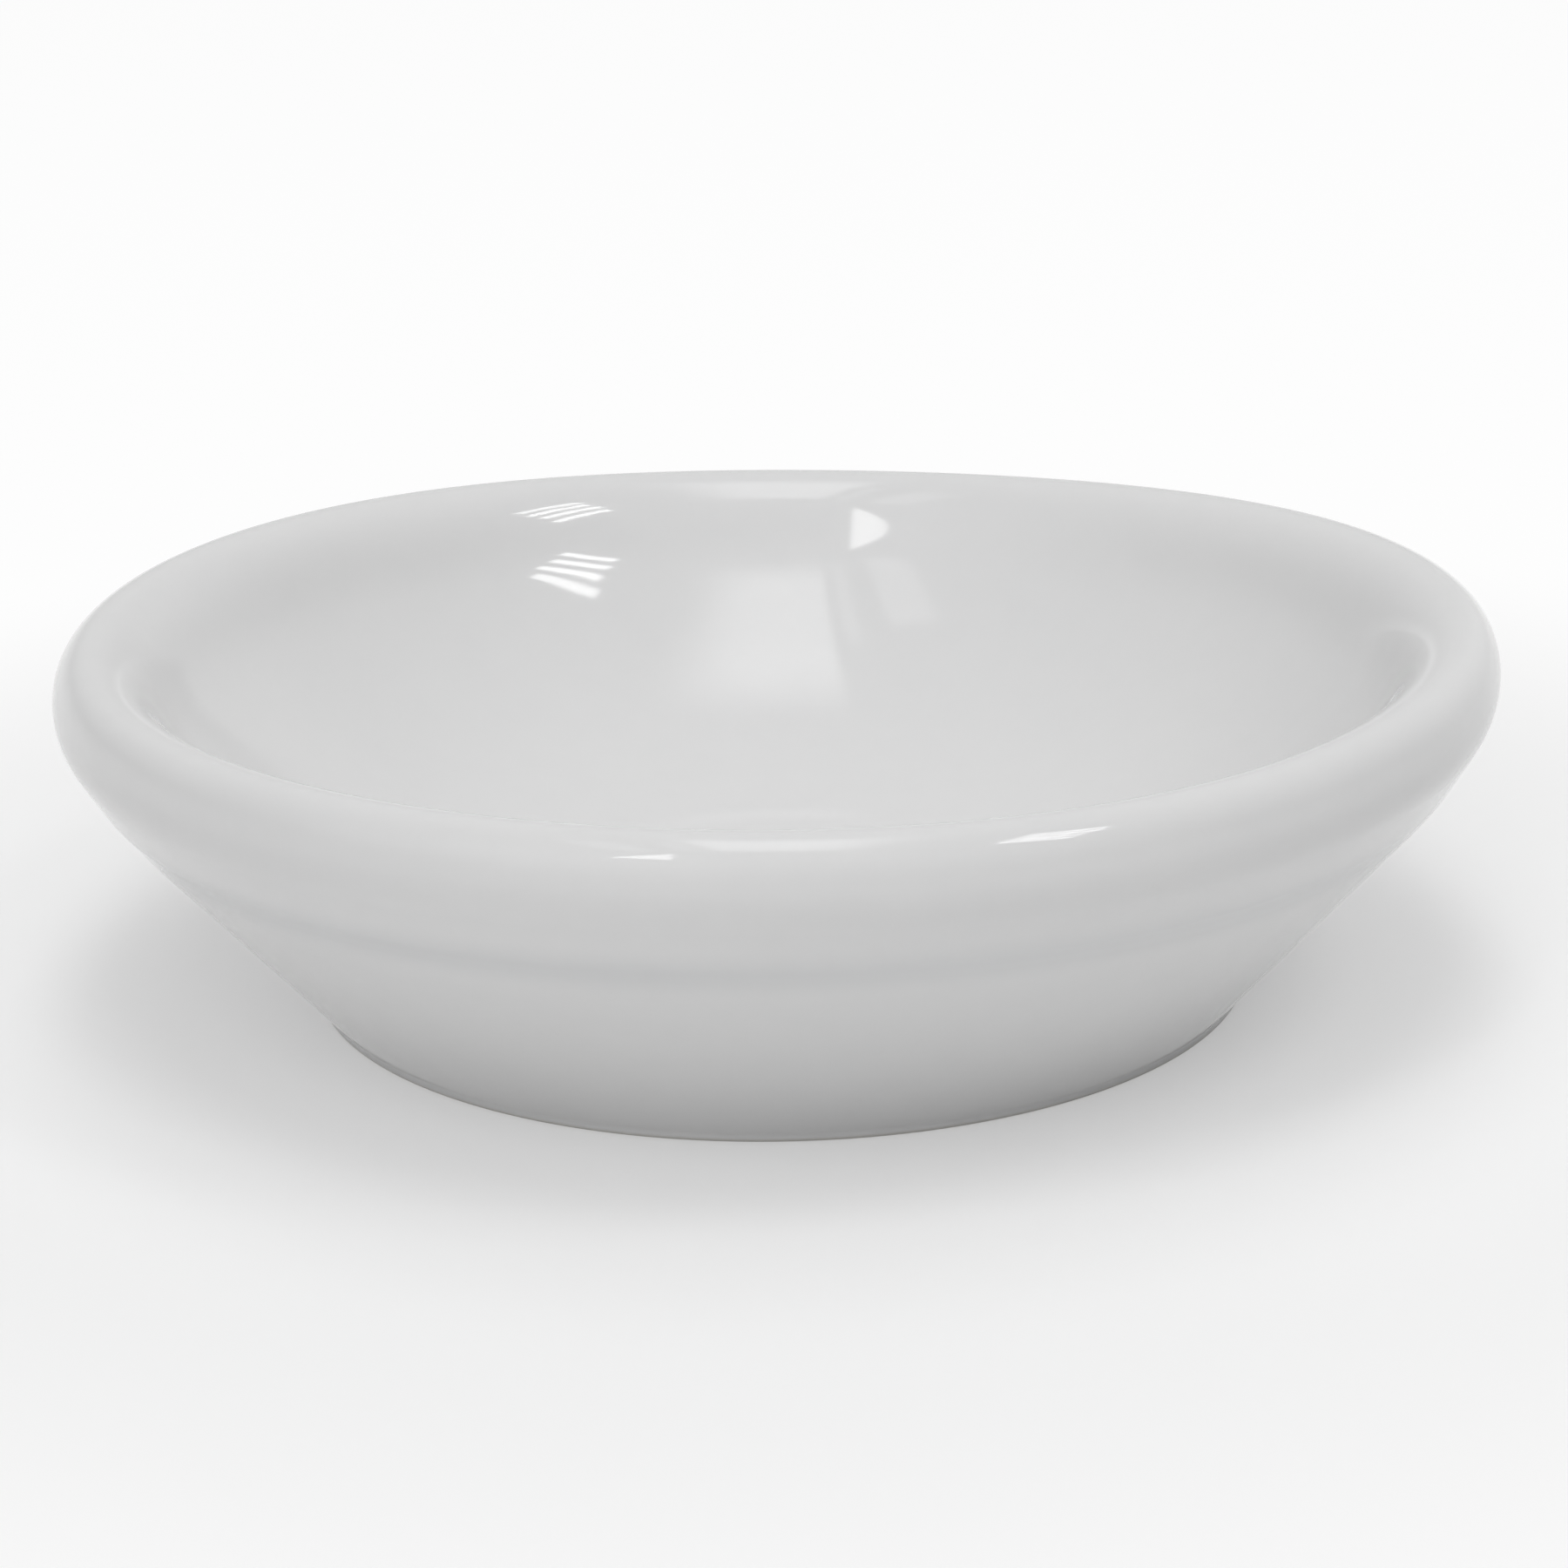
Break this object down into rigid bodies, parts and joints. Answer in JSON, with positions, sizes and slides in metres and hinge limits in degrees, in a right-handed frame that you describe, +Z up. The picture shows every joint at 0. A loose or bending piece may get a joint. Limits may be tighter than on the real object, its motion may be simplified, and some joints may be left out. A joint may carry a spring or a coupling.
{
  "type": "butter pat dish",
  "caption": "Small round dish of white glazed china with a rolled rim, a stepped outer band, a smooth bowl-shaped well and a low foot ring, for butter pats or sauce.",
  "frame": {"origin": "centre of the foot ring, on the surface that the dish stands on", "axes": "+Z up along the axis of the dish; X and Y lie in the plane of the foot"},
  "size_m": [0.0826, 0.0826, 0.0214],
  "materials": {
    "glazed_china": "gloss white glaze, bare on the ring that the foot stands on"
  },
  "bodies": {
    "root": {"dish": "glazed_china"}
  },
  "joints": []
}
